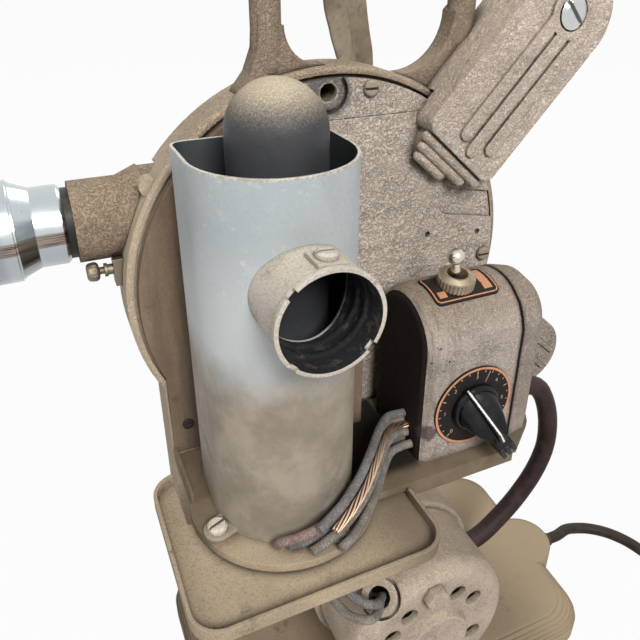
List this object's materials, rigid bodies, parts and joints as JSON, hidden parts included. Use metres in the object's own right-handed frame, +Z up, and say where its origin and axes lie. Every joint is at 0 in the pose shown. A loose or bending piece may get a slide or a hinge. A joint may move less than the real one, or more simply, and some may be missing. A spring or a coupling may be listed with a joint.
{
  "type": "film projector",
  "caption": "Film projector with a round drum housing, tube lamphouse, chrome lens, control box, motor on a cast base, carrying handle, reel arms and mains lead.",
  "frame": {"origin": "middle of the underside of the base", "axes": "+Z up, -X the way the lens points, -Y the lamphouse side, +Y the film side"},
  "size_m": [0.529, 0.2423, 0.4489],
  "materials": {
    "base_paint": "dusty khaki crinkle paint",
    "case_paint": "worn khaki crinkle paint",
    "galvanised": "dull galvanised sheet",
    "chrome": "polished",
    "steel": "plated steel",
    "brass": "dull plated brass",
    "black_plastic": "black moulded plastic",
    "dial_black": "printed dial sheet",
    "rubber": "matt",
    "cable_brown": "brown sheathed cable",
    "cloth": "cloth-covered wire",
    "leather": "worn leather",
    "glass": "lens glass",
    "lamp_black": "black-coated lamp glass",
    "porcelain": "lamp socket",
    "dark_metal": "dark painted steel"
  },
  "bodies": {
    "stand": {"base_casting": "base_paint", "rubber_pads": "rubber", "motor_can": "base_paint", "motor_bell": "case_paint", "motor_bolts": "steel", "motor_grommet": "rubber", "drum_housing": "base_paint", "left_cover": "case_paint", "round_cover": "case_paint", "top_cover": "case_paint", "cover_screws": "steel", "takeup_arm": "case_paint", "handle": "base_paint", "strap": "leather", "arm_bracket": "case_paint", "arm_pivot_screw": "chrome", "lens_holder": "base_paint", "clamp_block": "steel", "lamp_tube": "galvanised", "side_collar": "base_paint", "collar_screw": "steel", "lamp_bulb": "lamp_black", "lamp_socket": "porcelain", "condenser_barrel": "dark_metal", "lamp_flange": "base_paint", "flange_screws": "steel", "tray": "base_paint", "back_plate": "base_paint", "lamp_wires": "cloth", "control_box": "case_paint", "end_cap": "case_paint", "dial_plate": "dial_black", "knob_bush": "brass", "switch_plate": "dial_black", "switch_nut": "brass", "motor_cable": "cable_brown", "strain_relief": "rubber", "mains_lead": "rubber", "lead_coil": "rubber", "plug_body": "black_plastic", "plug_blades": "brass", "mirror_box": "dark_metal", "film_gate": "steel", "guide_posts": "steel"},
    "speed_knob": {"speed_knob": "black_plastic"},
    "switch_lever": {"switch_lever": "steel"},
    "hand_knob": {"hand_knob": "black_plastic"},
    "motor_rotor": {"motor_rotor": "steel"},
    "upper_sprocket": {"upper_sprocket": "steel"},
    "lower_sprocket": {"lower_sprocket": "steel"},
    "lens": {"lens_barrel": "dark_metal", "lens_rings": "chrome", "lens_glass": "glass"},
    "thumbscrew": {"thumbscrew": "chrome"},
    "reel_arm": {"reel_arm": "case_paint"},
    "reel_spindle": {"reel_spindle": "steel"},
    "takeup_spindle": {"takeup_spindle": "steel"},
    "pressure_plate": {"pressure_plate": "steel"},
    "upper_roller": {"upper_roller": "dark_metal"},
    "lower_roller": {"lower_roller": "dark_metal"}
  },
  "joints": [
    {"name": "speed_turn", "type": "hinge", "parent": "stand", "child": "speed_knob", "pos_m": [0.033, -0.033, 0.18], "axis": [0, -1, 0], "range_deg": [0, 270]},
    {"name": "switch_throw", "type": "hinge", "parent": "stand", "child": "switch_lever", "pos_m": [0.03, -0.01051, 0.24237], "axis": [0, 0.9816, 0.1908], "range_deg": [0, 26]},
    {"name": "hand_turn", "type": "hinge", "parent": "stand", "child": "hand_knob", "pos_m": [0.022, 0.06, 0.2375], "axis": [0, 1, 0], "continuous": true},
    {"name": "rotor_spin", "type": "hinge", "parent": "stand", "child": "motor_rotor", "pos_m": [-0.004, 0, 0.069], "axis": [0, 1, 0], "continuous": true},
    {"name": "upper_sprocket_spin", "type": "hinge", "parent": "stand", "child": "upper_sprocket", "pos_m": [-0.058, 0.06, 0.305], "axis": [0, 1, 0], "continuous": true},
    {"name": "lower_sprocket_spin", "type": "hinge", "parent": "stand", "child": "lower_sprocket", "pos_m": [-0.058, 0.06, 0.215], "axis": [0, 1, 0], "continuous": true},
    {"name": "lens_focus", "type": "slide", "parent": "stand", "child": "lens", "axis": [1, 0, 0], "range_m": [-0.003, 0.003]},
    {"name": "thumbscrew_turn", "type": "hinge", "parent": "stand", "child": "thumbscrew", "pos_m": [-0.1335, 0.046, 0.2545], "axis": [1, 0, 0], "range_deg": [-360, 0]},
    {"name": "reel_arm_fold", "type": "hinge", "parent": "stand", "child": "reel_arm", "pos_m": [0.10101, 0.03, 0.36105], "axis": [0, 1, 0], "range_deg": [0, 100]},
    {"name": "reel_spindle_spin", "type": "hinge", "parent": "reel_arm", "child": "reel_spindle", "pos_m": [0.12897, 0.06, 0.43387], "axis": [0, 1, 0], "continuous": true},
    {"name": "takeup_spindle_spin", "type": "hinge", "parent": "stand", "child": "takeup_spindle", "pos_m": [0.128, 0.06, 0.145], "axis": [0, 1, 0], "continuous": true},
    {"name": "gate_open", "type": "slide", "parent": "stand", "child": "pressure_plate", "axis": [1, 0, 0], "range_m": [0, 0.004], "stiffness_N_per_m": 300, "springref_m": -0.003},
    {"name": "upper_roller_spin", "type": "hinge", "parent": "stand", "child": "upper_roller", "pos_m": [-0.082, 0.06, 0.303], "axis": [0, 1, 0], "continuous": true},
    {"name": "lower_roller_spin", "type": "hinge", "parent": "stand", "child": "lower_roller", "pos_m": [-0.082, 0.06, 0.232], "axis": [0, 1, 0], "continuous": true}
  ],
  "couplings": [
    {"joint": "rotor_spin", "follows": "hand_turn", "ratio": 4},
    {"joint": "upper_sprocket_spin", "follows": "hand_turn", "ratio": 0.083333},
    {"joint": "lower_sprocket_spin", "follows": "hand_turn", "ratio": 0.083333}
  ]
}
